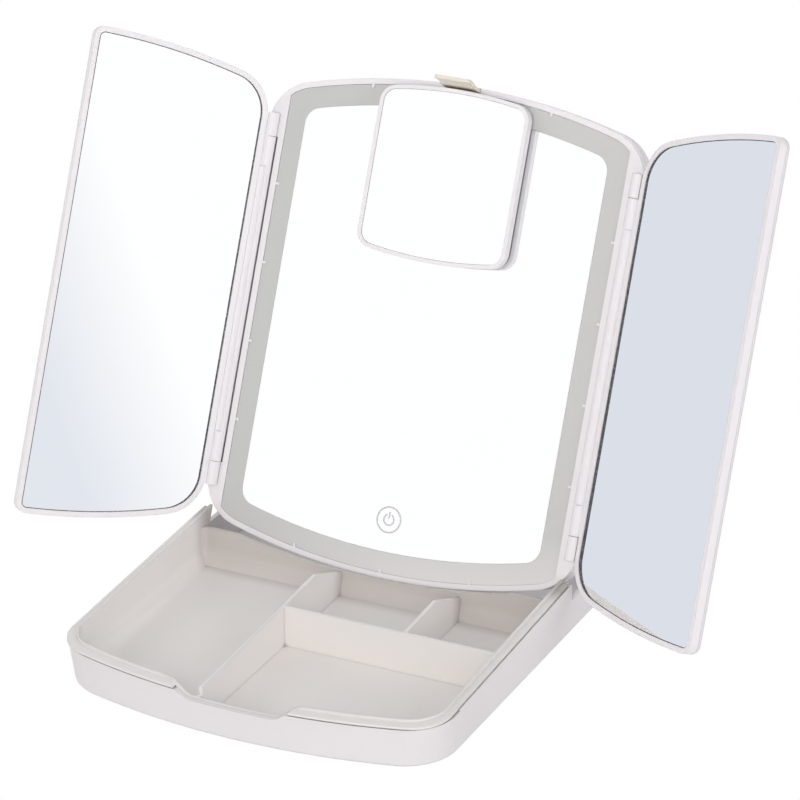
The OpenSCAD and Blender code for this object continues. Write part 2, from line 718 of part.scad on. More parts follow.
module lid_back_cover() color("white") in_panel() difference() {
    union() {
        difference() {
            union() {
                for (k = [0:2]) hull() {
                    a0 = 30 * k;
                    a1 = 30 * (k + 1);
                    slab(-panel_t + cover_round * (1 - cos(a0)), -panel_t + cover_round * (1 - cos(a0)) + eps)
                        panel_outline(cover_round * (1 - sin(a0)));
                    slab(-panel_t + cover_round * (1 - cos(a1)), -panel_t + cover_round * (1 - cos(a1)) + eps)
                        panel_outline(cover_round * (1 - sin(a1)));
                }
                slab(-panel_t + cover_round, -frame_t - 0.05) panel_outline();
            }
            slab(-panel_t + cover_wall, 1) panel_outline(cover_wall + 0.8);
        }
        // hinge pocket and the bosses that hold the axle
        intersection() {
            pocket_walls(cover_wall);
            slab(-panel_t, -frame_t - 0.05) panel_outline();
        }
        both_sides() translate([pocket_half_w, tilt_v - 6.5, -panel_t + 1])
            cube([boss_w, 13, panel_t - frame_t - 1.05]);
    }
    // the pocket itself, open at the back
    translate([-pocket_half_w, tilt_v - pocket_down, -panel_t - 1])
        cube([2 * pocket_half_w, pocket_up + pocket_down, panel_t + 1]);
    translate([-pocket_half_w - boss_w + 0.4, tilt_v, -tilt_depth]) rotate([0, 90, 0])
        cylinder(r = axle_r + 0.02, h = 2 * (pocket_half_w + boss_w) - 0.8, $fn = 48);
    for (p = cover_screw_spots) translate([p[0], p[1], -panel_t - 1]) {
        cylinder(r = pilot_r + 0.3, h = 20, $fn = 24);
        cylinder(r = 2.4, h = 1.9, $fn = 32);
    }
    translate([usb_x - usb_w / 2 - 0.25, usb_v - usb_t / 2 - 0.25, -panel_t - 1])
        cube([usb_w + 0.5, usb_t + 0.5, 8]);
    tab_seat();
}

module diffuser_ring() color("gainsboro") in_panel() difference() {
    slab(channel_w + led_board_t + led_chip_t + 0.1, -glass_recess) difference() {
        band_outline(seat_gap);
        glass_outline(0);
    }
    slab(channel_w, plate_w + 0.05) glass_outline(-1.6);
}

module centre_mirror() color("lightsteelblue") in_panel()
    slab(-glass_recess - glass_t, -glass_recess) glass_outline(seat_gap);

led_run = 4;

module led_ring() color("ivory") in_panel() {
    slab(channel_w + 0.05, channel_w + 0.05 + led_board_t) difference() {
        band_outline(1.2);
        glass_outline(-2.4);
    }
    lamp_top = channel_w + 0.05 + led_board_t;
    both_sides() for (k = [0:side_leds - 1]) {
        v = panel_h / 2 + (k - (side_leds - 1) / 2) * (panel_h - 64) / (side_leds - 1);
        translate([(band_half_w + glass_half_w) / 2 - 0.6, v - 1.4, lamp_top - eps])
            cube([2.8, 2.8, led_chip_t]);
    }
    for (k = [0:end_leds - 1]) {
        x = (k - (end_leds - 1) / 2) * 2 * (glass_half_w - 14) / (end_leds - 1);
        drop = panel_bow_r - sqrt(pow(panel_bow_r, 2) - x * x);
        translate([x - 1.4, rim_w + drop + band_end_w / 2 - 2.2, lamp_top - eps])
            cube([2.8, 2.8, led_chip_t]);
        translate([x - 1.4, panel_h - rim_w - drop - band_end_w / 2 - 0.6, lamp_top - eps])
            cube([2.8, 2.8, led_chip_t]);
    }
}

module touch_sensor() color("goldenrod") in_panel()
    translate([0, icon_v, plate_w - 0.45]) cylinder(r = 7, h = 0.4, $fn = 48);

icon_line = 0.75;
icon_lift = 0.06;

module power_icon() color("lightgray") in_panel() translate([0, icon_v, -glass_recess]) {
    difference() {
        cylinder(r = icon_r, h = icon_lift, $fn = 72);
        translate([0, 0, -1]) cylinder(r = icon_r - icon_line, h = 2, $fn = 72);
    }
    difference() {
        cylinder(r = icon_r * 0.46, h = icon_lift, $fn = 60);
        translate([0, 0, -1]) cylinder(r = icon_r * 0.46 - icon_line, h = 2, $fn = 60);
        translate([-icon_line * 1.3, 0, -1]) cube([icon_line * 2.6, icon_r, 2]);
    }
    translate([-icon_line / 2, icon_r * 0.1, 0]) cube([icon_line, icon_r * 0.48, icon_lift]);
}

module battery() color("steelblue") in_panel()
    translate([-battery_w / 2, panel_h / 2 + 7.5, -panel_t + cover_wall]) cube([battery_w, battery_h, battery_t]);

module control_board() color("seagreen") in_panel()
    translate([usb_x - 12, usb_v - 4, frame_plate_under - board_t]) cube([board_w, board_h, board_t]);

module usb_socket() color("silver") in_panel()
    translate([usb_x, usb_v, 0]) difference() {
        translate([-usb_w / 2, -usb_t / 2, -panel_t + 0.3])
            cube([usb_w, usb_t, panel_t - 0.3 + frame_plate_under - board_t]);
        translate([-usb_w / 2 + 0.6, -usb_t / 2 + 0.6, -panel_t]) cube([usb_w - 1.2, usb_t - 1.2, 6.2]);
    }

module cover_screws() color("silver") in_panel()
    for (p = cover_screw_spots) translate([p[0], p[1], -panel_t + 0.1]) {
        cylinder(r = 2.2, h = 0.8, $fn = 32);
        cylinder(r = pilot_r - 0.03, h = 7.5, $fn = 24);
    }

magnet_spots = [for (sx = [-1, 1], sv = [-1, 1]) [sx * magnet_dx, mag_v + sv * magnet_dv]];

module magnifier_magnets() color("gray") in_panel()
    for (p = magnet_spots) translate([p[0], p[1], plate_w - 1.05]) cylinder(r = magnet_r, h = 1, $fn = 32);

module hinge_pins(side) color("silver") in_panel()
    for (v = [barrel_end_v - pin_in_frame + 0.2, panel_h - barrel_end_v - pin_in_barrel])
        translate([side * wing_axis_x, v, wing_axis_w]) rotate([-90, 0, 0])
            cylinder(r = pin_r, h = pin_in_frame + pin_in_barrel - 0.2, $fn = 32);

module left_hinge_pins() hinge_pins(-1);
module right_hinge_pins() hinge_pins(1);

// ---------------------------------------------------------------- pull tab
tab_base_v = panel_h - rim_w;
// reach in front of the rim and rise of the tab's lower face along its curve
tab_curve = [[0, 0], [0.15, 0.01], [0.3, 0.12], [0.45, 0.35], [0.6, 0.65], [0.75, 0.88], [0.9, 0.98], [1, 1]];
tab_rise = 2.9;
tab_low_v = mag_v + mag_glass_h / 2 + mag_rim_w + moving_gap;

module tab_seat()
    translate([-tab_w / 2 - seat_gap, tab_base_v - seat_gap, -6])
        cube([tab_w + 2 * seat_gap, 20, 20]);

module pull_tab() color("wheat") in_panel()
    translate([-tab_w / 2, 0, 0]) {
        translate([0, tab_base_v, -5.9]) cube([tab_w, rim_w - 0.1, 6.1]);
        translate([0, tab_low_v, 0]) rotate([90, 0, 90]) linear_extrude(tab_w)
            polygon(concat([for (p = tab_curve) [p[1] * tab_rise, p[0] * tab_reach]],
                           [for (i = [len(tab_curve) - 1:-1:0])
                               [tab_curve[i][1] * tab_rise + tab_t, tab_curve[i][0] * tab_reach]],
                           [[tab_t, -0.2], [0, -0.2]]));
    }

// ------------------------------------------------------------------- wings
module wing_frame() color("white") difference() {
    union() {
        difference() {
            slab(-wing_t + wing_shell_t, 0) wing_outline();
            slab(-wing_t, 1) wing_glass_outline();
        }
        // barrel and the web that joins it to the rim
        translate([0, barrel_end_v, 0]) rotate([-90, 0, 0]) barrel();
        translate([0, barrel_end_v, -barrel_r + 0.3]) cube([wing_in + 0.6, barrel_len, barrel_r - 0.3]);
    }
    for (v = [barrel_end_v - 1, panel_h - barrel_end_v - pin_in_barrel - 0.5])
        translate([0, v, 0]) rotate([-90, 0, 0])
            cylinder(r = pin_r + running_gap, h = pin_in_barrel + 1.5, $fn = 32);
}

// the barrel between its two full knuckles is hollowed out towards the wing's front
module barrel() {
    knuckle = groove_end_v - barrel_end_v;
    difference() {
        cylinder(r = barrel_r, h = barrel_len, $fn = 40);
        translate([groove_at, -groove_at, knuckle])
            cylinder(r = groove_r, h = barrel_len - 2 * knuckle, $fn = 40);
    }
}

module wing_back() color("whitesmoke") difference() {
    union() {
        for (k = [0:1]) hull() {
            r = wing_shell_t - 0.8;
            a0 = 45 * k;
            a1 = 45 * (k + 1);
            slab(-wing_t + r * (1 - cos(a0)), -wing_t + r * (1 - cos(a0)) + eps) wing_outline(r * (1 - sin(a0)));
            slab(-wing_t + r * (1 - cos(a1)), -wing_t + r * (1 - cos(a1)) + eps) wing_outline(r * (1 - sin(a1)));
        }
        slab(-wing_t + wing_shell_t - 0.8, -wing_t + wing_shell_t - 0.05) wing_outline();
        slab(-wing_t + wing_shell_t - 0.1, -glass_recess - glass_t - seat_gap) wing_glass_outline(seat_gap);
    }
}

module wing_mirror() color("lightsteelblue")
    slab(-glass_recess - glass_t, -glass_recess) wing_glass_outline(seat_gap);

module left_wing_frame() in_left_wing() wing_frame();
module left_wing_back() in_left_wing() wing_back();
module left_wing_mirror() in_left_wing() wing_mirror();
module right_wing_frame() in_right_wing() wing_frame();
module right_wing_back() in_right_wing() wing_back();
module right_wing_mirror() in_right_wing() wing_mirror();

// --------------------------------------------------------------- magnifier
mag_back = mag_gap;
mag_front = mag_gap + mag_t;

module magnifier_frame() color("white") in_panel() difference() {
    union() {
        hull() {
            slab(mag_back, mag_back + eps) mag_outline(1.2);
            slab(mag_back + 1.2, mag_back + 1.2 + eps) mag_outline();
        }
        slab(mag_back + 1.2, mag_front) mag_outline();
    }
    slab(mag_front - glass_t - seat_gap - glass_recess, mag_front + 1) mag_outline(mag_rim_w);
    for (p = magnet_spots) translate([p[0], p[1], 0]) cylinder(r = magnet_r + seat_gap, h = mag_back + 1.2, $fn = 32);
}

module magnifier_mirror() color("lightsteelblue") in_panel()
    slab(mag_front - glass_t - glass_recess, mag_front - glass_recess) mag_outline(mag_rim_w + seat_gap);

module magnifier_plates() color("gray") in_panel()
    for (p = magnet_spots) translate([p[0], p[1], -glass_recess + 0.06]) cylinder(r = magnet_r, h = mag_back + glass_recess + 1, $fn = 32);

tray_shell();
tray_liner();
rubber_feet();
stand_post();
stand_screws();
tilt_axle();
lid_back_cover();
lid_front_frame();
diffuser_ring();
centre_mirror();
led_ring();
touch_sensor();
power_icon();
battery();
control_board();
usb_socket();
cover_screws();
magnifier_magnets();
left_hinge_pins();
right_hinge_pins();
pull_tab();
left_wing_frame();
left_wing_back();
left_wing_mirror();
right_wing_frame();
right_wing_back();
right_wing_mirror();
magnifier_frame();
magnifier_mirror();
magnifier_plates();
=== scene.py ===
import math
import bmesh
import bpy
from mathutils import Matrix, Vector


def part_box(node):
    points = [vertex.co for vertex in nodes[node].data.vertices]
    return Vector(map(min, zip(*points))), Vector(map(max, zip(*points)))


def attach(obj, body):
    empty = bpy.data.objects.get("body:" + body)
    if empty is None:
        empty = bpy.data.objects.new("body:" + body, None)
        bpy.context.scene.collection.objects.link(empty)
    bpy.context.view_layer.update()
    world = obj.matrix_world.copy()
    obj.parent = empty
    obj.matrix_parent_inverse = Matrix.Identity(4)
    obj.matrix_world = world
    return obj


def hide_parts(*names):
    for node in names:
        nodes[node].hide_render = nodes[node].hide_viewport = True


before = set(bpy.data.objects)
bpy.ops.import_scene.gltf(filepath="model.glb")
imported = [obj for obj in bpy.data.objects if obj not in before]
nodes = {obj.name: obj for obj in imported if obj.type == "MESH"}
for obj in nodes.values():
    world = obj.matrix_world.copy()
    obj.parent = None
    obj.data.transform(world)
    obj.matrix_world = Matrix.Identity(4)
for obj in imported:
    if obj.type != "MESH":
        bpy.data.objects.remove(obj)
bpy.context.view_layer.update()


# --------------------------------------------------------------- tray shell
# The outer tray: one injection-moulded tub of white ABS with a satin, finely
# spark-eroded skin. Its rubber feet are pressed into its floor.
MM = 0.001


def linear(code, alpha=1.0):
    """An sRGB hex colour as the linear values a shader takes."""
    parts = [int(code[i:i + 2], 16) / 255 for i in (1, 3, 5)]
    return (*[c / 12.92 if c <= 0.04045 else ((c + 0.055) / 1.055) ** 2.4 for c in parts], alpha)


def add(tree, kind, links=(), **settings):
    """Adds a node, sets its options and input values, and links its inputs to other nodes' outputs."""
    node = tree.nodes.new(kind)
    for key, value in settings.items():
        if key.startswith("in_"):
            name = key[3:]
            socket = node.inputs[int(name)] if name.isdigit() else node.inputs[name.replace("_", " ")]
            socket.default_value = value
        else:
            setattr(node, key, value)
    for source, output, target in links:
        tree.links.new(source.outputs[output], node.inputs[target])
    return node


def new_material(name):
    """An empty node material and its tree."""
    material = bpy.data.materials.new(name)
    material.use_nodes = True
    material.node_tree.nodes.clear()
    return material, material.node_tree


def moulded_plastic(name, colour, shade, roughness, grain_mm, bump, edge_mm=0.5, rear=None,
                    cleft_shade_tone="#8A8886"):
    """Moulded plastic: flow shading, grain, soft edges, painted cleft shade; rear is a painted shade's tone
    and the y it ends at.
    """
    flow_size = 60 * MM
    rear_shade_fade = 15 * MM
    cleft_reach = 3 * MM
    grain_depth = 0.05 * MM
    rough_spread = 0.03
    material, t = new_material(name)
    place = add(t, "ShaderNodeTexCoord")
    flow = add(t, "ShaderNodeTexNoise", [(place, "Object", "Vector")], in_Scale=1 / flow_size, in_Detail=2)
    tone = add(t, "ShaderNodeMix", [(flow, "Fac", "Factor")], data_type="RGBA",
               in_6=linear(colour), in_7=linear(shade))
    # painted shade: the tone darkens towards the rear tone over the last 15 mm before the given y
    if rear:
        rear_shade_tone, rear_shade_end_y = rear
        spot = add(t, "ShaderNodeSeparateXYZ", [(place, "Object", "Vector")])
        toward_rear_shade = add(t, "ShaderNodeMapRange", [(spot, "Y", "Value")], interpolation_type="SMOOTHSTEP",
                       in_From_Min=rear_shade_end_y - rear_shade_fade, in_From_Max=rear_shade_end_y)
        tone = add(t, "ShaderNodeMix", [(toward_rear_shade, "Result", "Factor"), (tone, 2, 6)], data_type="RGBA",
                   in_7=linear(rear_shade_tone))
    # painted shade: the tone darkens towards the cleft tone in narrow clefts and gaps that ambient occlusion
    # finds
    cleft_shade = add(t, "ShaderNodeAmbientOcclusion", samples=8, in_Distance=cleft_reach)
    open_part = add(t, "ShaderNodeMapRange", [(cleft_shade, "AO", "Value")], in_From_Min=0.05, in_From_Max=0.6)
    tone = add(t, "ShaderNodeMix", [(open_part, "Result", "Factor"), (tone, 2, 7)], data_type="RGBA",
               in_6=linear(cleft_shade_tone))
    grain = add(t, "ShaderNodeTexNoise", [(place, "Object", "Vector")],
                in_Scale=1 / (grain_mm * MM), in_Detail=3)
    edge = add(t, "ShaderNodeBevel", samples=6, in_Radius=edge_mm * MM)
    height = add(t, "ShaderNodeBump", [(grain, "Fac", "Height"), (edge, "Normal", "Normal")],
                 in_Strength=bump, in_Distance=grain_depth)
    rough = add(t, "ShaderNodeMapRange", [(grain, "Fac", "Value")],
                in_To_Min=roughness - rough_spread, in_To_Max=roughness + rough_spread)
    skin = add(t, "ShaderNodeBsdfPrincipled",
               [(tone, 2, "Base Color"), (rough, "Result", "Roughness"), (height, "Normal", "Normal")],
               in_IOR=1.53)
    add(t, "ShaderNodeOutputMaterial", [(skin, 0, "Surface")])
    return material


def give(material, *names):
    """Puts a material on CAD nodes."""
    for name in names:
        nodes[name].data.materials.clear()
        nodes[name].data.materials.append(material)


# satin: rough enough to blur every reflection
satin_abs = moulded_plastic("satin white ABS", "#EAE7E8", "#E6E3E4", roughness=0.42, grain_mm=0.5, bump=0.12)
give(satin_abs, "tray_shell")

# -------------------------------------------------------------- tray liner
# The lift-out divided liner: polished white ABS, thinner than the shell, with
# large roundings to its floor. Its tone is dimmer near the leaning mirror's foot:
# a shade that is painted on, because the studio's lamps don't give it.
mirror_foot_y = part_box("lid_front_frame")[0].y
gloss_abs = moulded_plastic("polished liner ABS", "#F0EDEA", "#EBE8E5", roughness=0.26, grain_mm=1.5,
                            bump=0.04, edge_mm=0.8, rear=("#BFBAB6", mirror_foot_y))
give(gloss_abs, "tray_liner")

# -------------------------------------------------------------- rubber feet
# Five round feet of black nitrile rubber, moulded matt so that they grip.
foot_rubber = moulded_plastic("matt nitrile rubber", "#28282B", "#2E2E32", roughness=0.82, grain_mm=0.4,
                              bump=0.3, cleft_shade_tone="#1C1C1E")
give(foot_rubber, "rubber_feet")

# ---------------------------------------------------------- stand and axle
# The post stands in the tray's rear bay and carries the knuckle that the
# panel's axle turns in. Post of satin ABS, axle of turned steel rod.
give(satin_abs, "stand_post")


def turned_metal(name, colour, shade, roughness, groove_mm, along):
    """Turned or drawn metal: fine rings that run round the given axis."""
    groove_stretch = 0.08
    groove_depth = 0.02 * MM
    rough_spread = 0.06
    material, t = new_material(name)
    place = add(t, "ShaderNodeTexCoord")
    stretch = add(t, "ShaderNodeMapping", [(place, "Object", "Vector")],
                  in_Scale=[1.0 if axis == along else groove_stretch for axis in "XYZ"])
    rings = add(t, "ShaderNodeTexNoise", [(stretch, "Vector", "Vector")],
                in_Scale=1 / (groove_mm * MM), in_Detail=4)
    tone = add(t, "ShaderNodeMix", [(rings, "Fac", "Factor")], data_type="RGBA",
               in_6=linear(colour), in_7=linear(shade))
    rough = add(t, "ShaderNodeMapRange", [(rings, "Fac", "Value")],
                in_To_Min=roughness - rough_spread, in_To_Max=roughness + rough_spread)
    height = add(t, "ShaderNodeBump", [(rings, "Fac", "Height")], in_Strength=0.1, in_Distance=groove_depth)
    skin = add(t, "ShaderNodeBsdfPrincipled",
               [(tone, 2, "Base Color"), (rough, "Result", "Roughness"), (height, "Normal", "Normal")],
               in_Metallic=1.0)
    add(t, "ShaderNodeOutputMaterial", [(skin, 0, "Surface")])
    return material


axle_steel = turned_metal("turned steel rod", "#BDBEC0", "#A9AAAD", roughness=0.28, groove_mm=0.5, along="X")
give(axle_steel, "tilt_axle")

# ------------------------------------------------------------------- screws
# Cross-recess pan-head screws of zinc-plated steel: four hold the stand to
# the tray's floor and six hold the back cover, each at its CAD screw's place.
panel_lean = math.radians(23.16)
weld = 0.002 * MM


def loose_parts(name):
    """The points of each separate solid in a CAD node."""
    work = bmesh.new()
    work.from_mesh(nodes[name].data)
    bmesh.ops.remove_doubles(work, verts=work.verts, dist=weld)
    parts, waiting = [], set(work.verts)
    while waiting:
        part, front = [], [waiting.pop()]
        while front:
            vert = front.pop()
            part.append(vert.co.copy())
            for edge in vert.link_edges:
                other = edge.other_vert(vert)
                if other in waiting:
                    waiting.remove(other)
                    front.append(other)
        parts.append(part)
    work.free()
    return parts


def node_inputs(tree, *fields):
    """Named inputs for a Geometry Nodes tree: (name, socket kind, value)."""
    for name, kind, value in fields:
        socket = tree.interface.new_socket(name=name, in_out="INPUT", socket_type=kind)
        if value is not None:
            socket.default_value = value


screws = bpy.data.node_groups.new("cross-recess screws", "GeometryNodeTree")
screws.interface.new_socket(name="Screws", in_out="OUTPUT", socket_type="NodeSocketGeometry")
node_inputs(screws, ("Places", "NodeSocketGeometry", None), ("Turn", "NodeSocketVector", (0, 0, 0)),
            ("Head Radius", "NodeSocketFloat", 2.8 * MM), ("Crown Radius", "NodeSocketFloat", 2.1 * MM),
            ("Head Height", "NodeSocketFloat", 1.4 * MM), ("Shank Radius", "NodeSocketFloat", 1.5 * MM),
            ("Shank Length", "NodeSocketFloat", 4 * MM),
            ("Recess", "NodeSocketVector", (3 * MM, 0.6 * MM, 1.2 * MM)),
            ("Plating", "NodeSocketMaterial", None))
given = add(screws, "NodeGroupInput")
head = add(screws, "GeometryNodeMeshCone", [(given, "Head Radius", "Radius Bottom"),
                                            (given, "Crown Radius", "Radius Top"),
                                            (given, "Head Height", "Depth")], in_Vertices=32)
crown = add(screws, "ShaderNodeCombineXYZ", [(given, "Head Height", "Z")])
bar = add(screws, "GeometryNodeMeshCube", [(given, "Recess", "Size")])
bar_up = add(screws, "GeometryNodeTransform", [(bar, "Mesh", "Geometry"), (crown, 0, "Translation")])
bar_across = add(screws, "GeometryNodeTransform", [(bar_up, 0, "Geometry")],
                 in_Rotation=(0, 0, math.pi / 2))
cut_head = add(screws, "GeometryNodeMeshBoolean", [(head, "Mesh", "Mesh 1"), (bar_up, 0, "Mesh 2"),
                                                   (bar_across, 0, "Mesh 2")], operation="DIFFERENCE")
shank = add(screws, "GeometryNodeMeshCylinder", [(given, "Shank Radius", "Radius"),
                                                 (given, "Shank Length", "Depth")], in_Vertices=20)
half_down = add(screws, "ShaderNodeMath", [(given, "Shank Length", 0)], operation="MULTIPLY", in_1=-0.5)
below = add(screws, "ShaderNodeCombineXYZ", [(half_down, 0, "Z")])
shank_down = add(screws, "GeometryNodeTransform", [(shank, "Mesh", "Geometry"), (below, 0, "Translation")])
whole_screw = add(screws, "GeometryNodeJoinGeometry", [(cut_head, "Mesh", "Geometry"),
                                                       (shank_down, 0, "Geometry")])
turn = add(screws, "FunctionNodeEulerToRotation", [(given, "Turn", 0)])
set_out = add(screws, "GeometryNodeInstanceOnPoints", [(given, "Places", "Points"),
                                                       (whole_screw, 0, "Instance"), (turn, 0, "Rotation")])
made_real = add(screws, "GeometryNodeRealizeInstances", [(set_out, 0, "Geometry")])
plated = add(screws, "GeometryNodeSetMaterial", [(made_real, 0, "Geometry"),
                                                 (given, "Plating", "Material")])
add(screws, "NodeGroupOutput", [(plated, 0, 0)])


def grow(name, tree, places, **inputs):
    """Runs a Geometry Nodes tree on a set of points and keeps the result as a plain mesh object."""
    mesh = bpy.data.meshes.new(name)
    mesh.from_pydata(places, [], [])
    seed = bpy.data.objects.new(name + "_places", mesh)
    bpy.context.scene.collection.objects.link(seed)
    modifier = seed.modifiers.new(name, "NODES")
    modifier.node_group = tree
    for item in tree.interface.items_tree:
        key = item.name.replace(" ", "_")
        if item.in_out == "INPUT" and key in inputs:
            modifier[item.identifier] = inputs[key]
    bpy.context.view_layer.update()
    grown = bpy.data.meshes.new_from_object(seed.evaluated_get(bpy.context.evaluated_depsgraph_get()))
    seed.modifiers.clear()
    bpy.data.objects.remove(seed)
    piece = bpy.data.objects.new(name, grown)
    bpy.context.scene.collection.objects.link(piece)
    return piece


# zinc plating: bright, slightly blue, with faint grinding rings
zinc_plate = turned_metal("zinc-plated screw steel", "#C6C9CC", "#AEB2B6", roughness=0.3, groove_mm=0.35,
                          along="Z")
stand_head_height = 1.4 * MM
stand_seats = []
for part in loose_parts("stand_screws"):
    x_middle = sum(p.x for p in part) / len(part)
    y_middle = sum(p.y for p in part) / len(part)
    stand_seats.append((x_middle, y_middle, max(p.z for p in part) - stand_head_height))
piece = grow("stand_screw_set", screws, stand_seats, Plating=zinc_plate, Head_Height=stand_head_height)
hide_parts("stand_screws")
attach(piece, "tray")

cover_head_height = 0.8 * MM
crown_depth = 0.01 * MM
panel_back = Vector((0, math.cos(panel_lean), -math.sin(panel_lean)))
cover_seats = []
for part in loose_parts("cover_screws"):
    reach = max(p.dot(panel_back) for p in part)
    crown_points = [p for p in part if p.dot(panel_back) > reach - crown_depth]
    cover_seats.append(sum(crown_points, Vector()) / len(crown_points) - panel_back * cover_head_height)
piece = grow("cover_screw_set", screws, cover_seats, Plating=zinc_plate,
             Turn=(-math.pi / 2 - panel_lean, 0, 0), Head_Radius=2.2 * MM, Crown_Radius=1.8 * MM,
             Head_Height=cover_head_height, Shank_Radius=1.05 * MM, Shank_Length=6.6 * MM,
             Recess=(2.4 * MM, 0.5 * MM, 1.0 * MM))
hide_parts("cover_screws")
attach(piece, "mirror_panel")

# --------------------------------------------------------------- back cover
# The panel's rear shell: satin ABS like the tray, with a pocket for the
# stand's knuckle and a slot for the charging socket.
give(satin_abs, "lid_back_cover")

# -------------------------------------------------------------- front frame
# The panel's front frame: polished white ABS that carries the mirror, the
# light band and the wings' pins.
frame_abs = moulded_plastic("polished frame ABS", "#F3F1F3", "#F0EEF0", roughness=0.22, grain_mm=1.5,
                            bump=0.03, edge_mm=0.4)
give(frame_abs, "lid_front_frame")

# --------------------------------------------------------------- light band
# The diffuser of the lamps, unlit: frosted acrylic, grey-green, with painted light: a little
# lighter towards the right and near white at the right of its foot.
band_low, band_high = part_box("diffuser_ring")
frosted_acrylic, t = new_material("frosted acrylic")
place = add(t, "ShaderNodeTexCoord")
spot = add(t, "ShaderNodeSeparateXYZ", [(place, "Object", "Vector")])
# painted light: the band's tone grows lighter from left to right
rightward = add(t, "ShaderNodeMapRange", [(spot, "X", "Value")],
                in_From_Min=band_low.x, in_From_Max=band_high.x)
frost_size = 0.4 * MM
frost = add(t, "ShaderNodeTexNoise", [(place, "Object", "Vector")], in_Scale=1 / frost_size, in_Detail=3)
# painted light: near white at the right of the band's foot, fading out 30 mm up
painted_foot_light_height = 30 * MM
downward = add(t, "ShaderNodeMapRange", [(spot, "Z", "Value")],
               in_From_Min=band_low.z + painted_foot_light_height, in_From_Max=band_low.z)
painted_foot_light = add(t, "ShaderNodeMath", [(rightward, "Result", 0), (downward, "Result", 1)],
               operation="MULTIPLY")
across = add(t, "ShaderNodeMix", [(rightward, "Result", "Factor")], data_type="RGBA",
             in_6=linear("#C3C6C3"), in_7=linear("#D0D0CE"))
sparkle = add(t, "ShaderNodeMix", [(frost, "Fac", "Factor"), (across, 2, 6)], data_type="RGBA",
              in_7=linear("#CDCECC"))
band_tone_with_painted_light = add(t, "ShaderNodeMix", [(painted_foot_light, 0, "Factor"), (sparkle, 2, 6)], data_type="RGBA",
            in_7=linear("#F2F0F0"))
frost_bump = add(t, "ShaderNodeBump", [(frost, "Fac", "Height")], in_Strength=0.1, in_Distance=0.03 * MM)
acrylic = add(t, "ShaderNodeBsdfPrincipled", [(band_tone_with_painted_light, 2, "Base Color"), (frost_bump, "Normal", "Normal")],
              in_IOR=1.49, in_Roughness=0.5)
add(t, "ShaderNodeOutputMaterial", [(acrylic, 0, "Surface")])
give(frosted_acrylic, "diffuser_ring")

# ------------------------------------------------------- lamps and electrics
# Behind the band: the lamp board under white solder mask, the copper touch
# pad, the wrapped battery, the control board and the steel charging socket.
solder_mask = moulded_plastic("white solder mask", "#E8E8E0", "#E2E2DA", roughness=0.4, grain_mm=0.5,
                              bump=0.05)
give(solder_mask, "led_ring")
touch_copper = turned_metal("tinned copper pad", "#C98F5A", "#B98250", roughness=0.35, groove_mm=0.3,
                            along="X")
give(touch_copper, "touch_sensor")
cell_wrap = moulded_plastic("blue shrink wrap", "#2A4A78", "#264470", roughness=0.4, grain_mm=0.8, bump=0.05,
                            cleft_shade_tone="#1C3358")
give(cell_wrap, "battery")
glass_epoxy = moulded_plastic("green glass-epoxy board", "#1E5A32", "#1A5030", roughness=0.35,
                              grain_mm=0.5, bump=0.05, cleft_shade_tone="#143C22")
give(glass_epoxy, "control_board")
socket_steel = turned_metal("drawn nickel-plated steel", "#C2C3C6", "#B2B3B7", roughness=0.25,
                            groove_mm=0.4, along="Z")
give(socket_steel, "usb_socket")

# ------------------------------------------------------------- mirror glass
# Silvered float glass: the centre mirror, both wings' mirrors and the
# magnifier. A faint cloud in its tone keeps it from being a perfect sheet.


def silvered_glass(name, colour, cloud_tone):
    """Float glass with a silver back, seen as a clean mirror."""
    material, t = new_material(name)
    place = add(t, "ShaderNodeTexCoord")
    cloud_size = 45 * MM
    cloud = add(t, "ShaderNodeTexNoise", [(place, "Object", "Vector")], in_Scale=1 / cloud_size)
    tone = add(t, "ShaderNodeMix", [(cloud, "Fac", "Factor")], data_type="RGBA",
               in_6=linear(colour), in_7=linear(cloud_tone))
    skin = add(t, "ShaderNodeBsdfPrincipled", [(tone, 2, "Base Color")], in_Metallic=1.0, in_Roughness=0.0)
    add(t, "ShaderNodeOutputMaterial", [(skin, 0, "Surface")])
    return material


silver = silvered_glass("silvered float glass", "#FFFFFF", "#FDFEFF")
give(silver, "centre_mirror", "left_wing_mirror", "right_wing_mirror", "magnifier_mirror")

# ------------------------------------------------------------- touch symbol
# The ring and power sign of the touch switch: a very thin layer on the glass
# that looks like acid-etched lines.
etched_glass = moulded_plastic("acid-etched glass", "#DAD8DE", "#D4D2D8", roughness=0.6, grain_mm=0.2,
                               bump=0.1, edge_mm=0.02, cleft_shade_tone="#D0CED4")
give(etched_glass, "power_icon")

# ------------------------------------------------------------------ magnets
# Four nickel-plated discs behind the centre mirror and the steel plates in
# the magnifier that they hold.
nickel = turned_metal("nickel plate", "#BEBDB8", "#ACABA6", roughness=0.2, groove_mm=0.5, along="Z")
give(nickel, "magnifier_magnets")
plate_steel = turned_metal("blanked steel plate", "#A9ABAE", "#97999C", roughness=0.38, groove_mm=0.6,
                           along="X")
give(plate_steel, "magnifier_plates")

# -------------------------------------------------------------- hinge pins
# Ground steel pins, held fast in the frame's stubs. The wings' barrels turn on
# them.
pin_steel = turned_metal("ground pin steel", "#C8C9CB", "#B9BABC", roughness=0.2, groove_mm=0.3, along="X")
give(pin_steel, "left_hinge_pins", "right_hinge_pins")

# ----------------------------------------------------------------- pull tab
# The soft tab for lifting the panel: cream silicone, matt and slightly grainy.
silicone = moulded_plastic("cream silicone", "#F1EBDD", "#ECE5D5", roughness=0.55, grain_mm=0.6, bump=0.15,
                           cleft_shade_tone="#C9BFA6")
give(silicone, "pull_tab")

